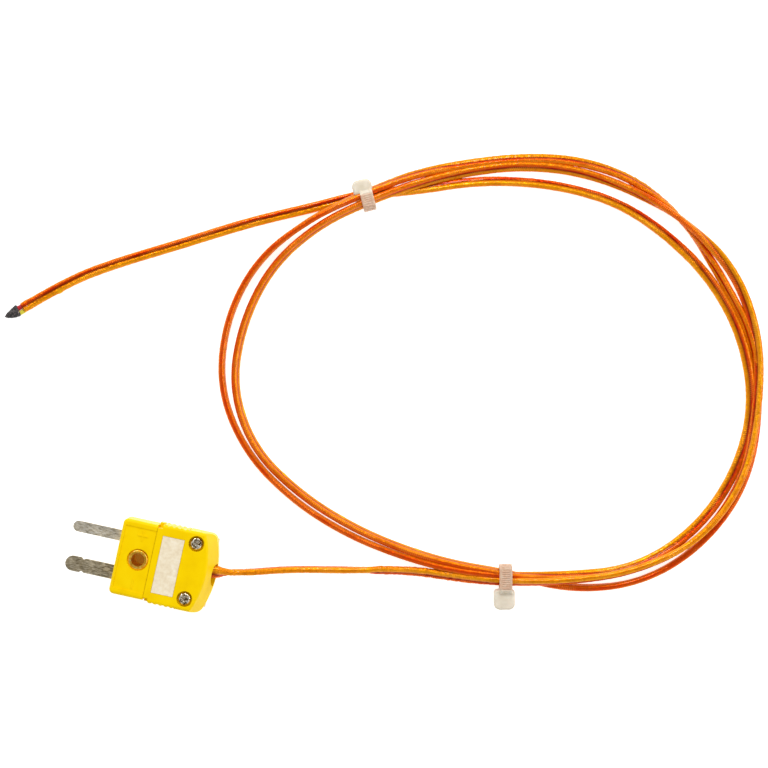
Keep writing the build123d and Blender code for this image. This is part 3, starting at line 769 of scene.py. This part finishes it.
film = film_finish()
nylon = nylon_finish()
seal = seal_finish()
yellow = plastic_finish()
panel = label_finish()
brass = metal_finish("brass", [(226, 146, 20), (255, 196, 62), (255, 234, 140)], 0.38, (2.0, 2.0, 0.4), 0.03)
positive = metal_finish(
    "blade_alloy_positive", [(176, 164, 138), (232, 222, 200), (255, 250, 238)],
    0.4, (1.0, 4.0, 4.0), 0.03, spread=0.15,
)
negative = metal_finish(
    "blade_alloy_negative", [(132, 118, 92), (186, 172, 142), (226, 214, 188)],
    0.42, (1.0, 4.0, 4.0), 0.03, spread=0.15,
)
# The screw heads' dark brown to near-white mottle is painted glints and dark reflections, over a bump of fine
# marks.
steel = metal_finish(
    "screw_steel", [(98, 78, 48), (210, 190, 154), (255, 252, 240)], 0.2, (1.6, 1.6, 1.6), 0.16, spread=0.08
)
terminal = metal_finish(
    "terminal_steel", [(160, 158, 154), (196, 195, 192), (224, 223, 220)],
    0.3, (1.5, 1.5, 1.5), 0.02, (140, 128, 110),
)
wire = metal_finish(
    "conductor_wire", [(140, 134, 126), (178, 172, 162), (206, 200, 190)], 0.3, (1.0, 1.0, 1.0), 0.01
)
weld = metal_finish(
    "weld_metal", [(90, 88, 86), (130, 126, 122), (170, 166, 160)], 0.4, (2.0, 2.0, 2.0), 0.05
)
red_core = core_finish("core_red", (168, 8, 20), (206, 22, 34))
yellow_core = core_finish("core_yellow", (196, 184, 40), (226, 214, 70))

NODE_FINISHES = {
    "plug_base": (yellow, "yellow_plastic"),
    "plug_front_cap": (yellow, "yellow_plastic"),
    "plug_rear_cover": (yellow, "yellow_plastic"),
    "write_on_label": (panel, "label"),
    "hollow_rivet": (brass, "brass"),
    "blade_positive": (positive, "blade_alloy_positive"),
    "blade_negative": (negative, "blade_alloy_negative"),
    "cover_screw_left": (steel, "screw_steel"),
    "cover_screw_right": (steel, "screw_steel"),
    "terminal_screw_positive": (terminal, "terminal_steel"),
    "terminal_screw_negative": (terminal, "terminal_steel"),
    "terminal_washer_positive": (terminal, "terminal_steel"),
    "terminal_washer_negative": (terminal, "terminal_steel"),
    "core_positive_plug_end": (yellow_core, "core_yellow"),
    "core_negative_plug_end": (red_core, "core_red"),
    "conductor_positive_plug_end": (wire, "conductor_wire"),
    "conductor_negative_plug_end": (wire, "conductor_wire"),
    "weld_bead": (weld, "weld_metal"),
}
for name, (material, slot) in NODE_FINISHES.items():
    for holder in nodes[name].material_slots:
        holder.material = material

cable.data.materials.append(film)
tie_bottom.data.materials.append(nylon)
tie_top.data.materials.append(nylon)
tip_bead.data.materials.append(seal)
stub_red.data.materials.append(red_core)
stub_yellow.data.materials.append(yellow_core)
for piece, slot, replaced in (
    (cable, "amber_film", ("cable_plug_lead", "cable_coil", "cable_tip_lead")),
    (tie_bottom, "natural_nylon", ("cable_tie_bottom",)),
    (tie_top, "natural_nylon", ("cable_tie_top",)),
    (tip_bead, "seal_compound", ("tip_seal",)),
    (stub_red, "core_red", ("core_negative_tip", "conductor_negative_tip")),
    (stub_yellow, "core_yellow", ("core_positive_tip", "conductor_positive_tip")),
):
    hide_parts(*replaced)
    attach(piece, "connector")

# ---------------------------------------------------------------- floor, light and colour

FLOOR_HALF = 3.0  # m
floor_corners = [(x * FLOOR_HALF, y * FLOOR_HALF, 0) for x, y in ((-1, -1), (1, -1), (1, 1), (-1, 1))]
floor_mesh = bpy.data.meshes.new("floor")
floor_mesh.from_pydata(floor_corners, [], [(0, 1, 2, 3)])
floor = linked("floor", floor_mesh)
floor_finish = Finish("floor", Roughness=0.9)
floor_finish.shader.inputs["Specular IOR Level"].default_value = 0.0
floor_tone = floor_finish.noise(floor_finish.place(), 0.002, 2.0)
floor_finish.set(Base_Color=floor_finish.ramp(floor_tone, [(0.0, (214, 214, 214)), (1.0, (220, 220, 220))]))
# The glow that keeps the floor white drops under the connector and turns a dim gold there: a painted gold
# reflection of the brass, seen down the rivet's bore.
body_low, body_high = [[side / MM for side in corner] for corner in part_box("plug_base")]
GLOW_MARGIN = 1.0  # mm inside the connector's outline where the white glow gives way to the painted gold glow
floor_parts = floor_finish.add("ShaderNodeSeparateXYZ", i0=floor_finish.place())
outside = []
for axis in ("X", "Y"):
    index = "XYZ".index(axis)
    middle = (body_low[index] + body_high[index]) / 2
    reach = (body_high[index] - body_low[index]) / 2 - GLOW_MARGIN
    away = floor_finish.math("SUBTRACT", floor_parts.outputs[axis], middle)
    outside.append(floor_finish.math("GREATER_THAN", floor_finish.math("ABSOLUTE", away), reach))
beside = floor_finish.math("MAXIMUM", *outside)
floor_finish.set(
    Emission_Color=floor_finish.mix(beside, linear(220, 140, 10), (1.0, 1.0, 1.0, 1.0)),
    Emission_Strength=floor_finish.range(beside, 0.0, 1.0, 0.25, 0.8),
)
floor_mesh.materials.append(floor_finish.material)

# The sky is white at the sides and grey overhead, so that flat bright faces don't mirror pure white.
world = bpy.data.worlds.new("studio")
bpy.context.scene.world = world
world.use_nodes = True
backdrop = world.node_tree.nodes["Background"]
sky_place = world.node_tree.nodes.new("ShaderNodeTexCoord")
sky_parts = world.node_tree.nodes.new("ShaderNodeSeparateXYZ")
sky_ramp = world.node_tree.nodes.new("ShaderNodeValToRGB")
sky_ramp.color_ramp.elements[0].position = 0.8
sky_ramp.color_ramp.elements[0].color = (1.0, 1.0, 1.0, 1.0)
sky_ramp.color_ramp.elements[1].position = 0.96
sky_ramp.color_ramp.elements[1].color = (0.42, 0.42, 0.42, 1.0)
world.node_tree.links.new(sky_place.outputs["Generated"], sky_parts.inputs[0])
world.node_tree.links.new(sky_parts.outputs["Z"], sky_ramp.inputs["Fac"])
world.node_tree.links.new(sky_ramp.outputs["Color"], backdrop.inputs["Color"])
backdrop.inputs["Strength"].default_value = 0.62


def soft_light(name, place, size, power):
    """Square area light aimed at the middle of the view, with its place and size in m and power in W."""
    light = bpy.data.lights.new(name, "AREA")
    light.size = size
    light.energy = power
    holder = linked(name, light)
    holder.location = place
    middle = Vector((VIEW_CENTRE[0] * MM, VIEW_CENTRE[1] * MM, 0.0))
    holder.rotation_euler = (middle - holder.location).to_track_quat("-Z", "Y").to_euler()


soft_light("key", (-0.15, 0.50, 0.50), 0.25, 2.7)
soft_light("fill", (0.55, 0.15, 0.45), 0.30, 1.2)

bpy.context.scene.view_settings.view_transform = "Standard"
bpy.context.scene.view_settings.look = "None"
bpy.context.scene.view_settings.exposure = 0.0
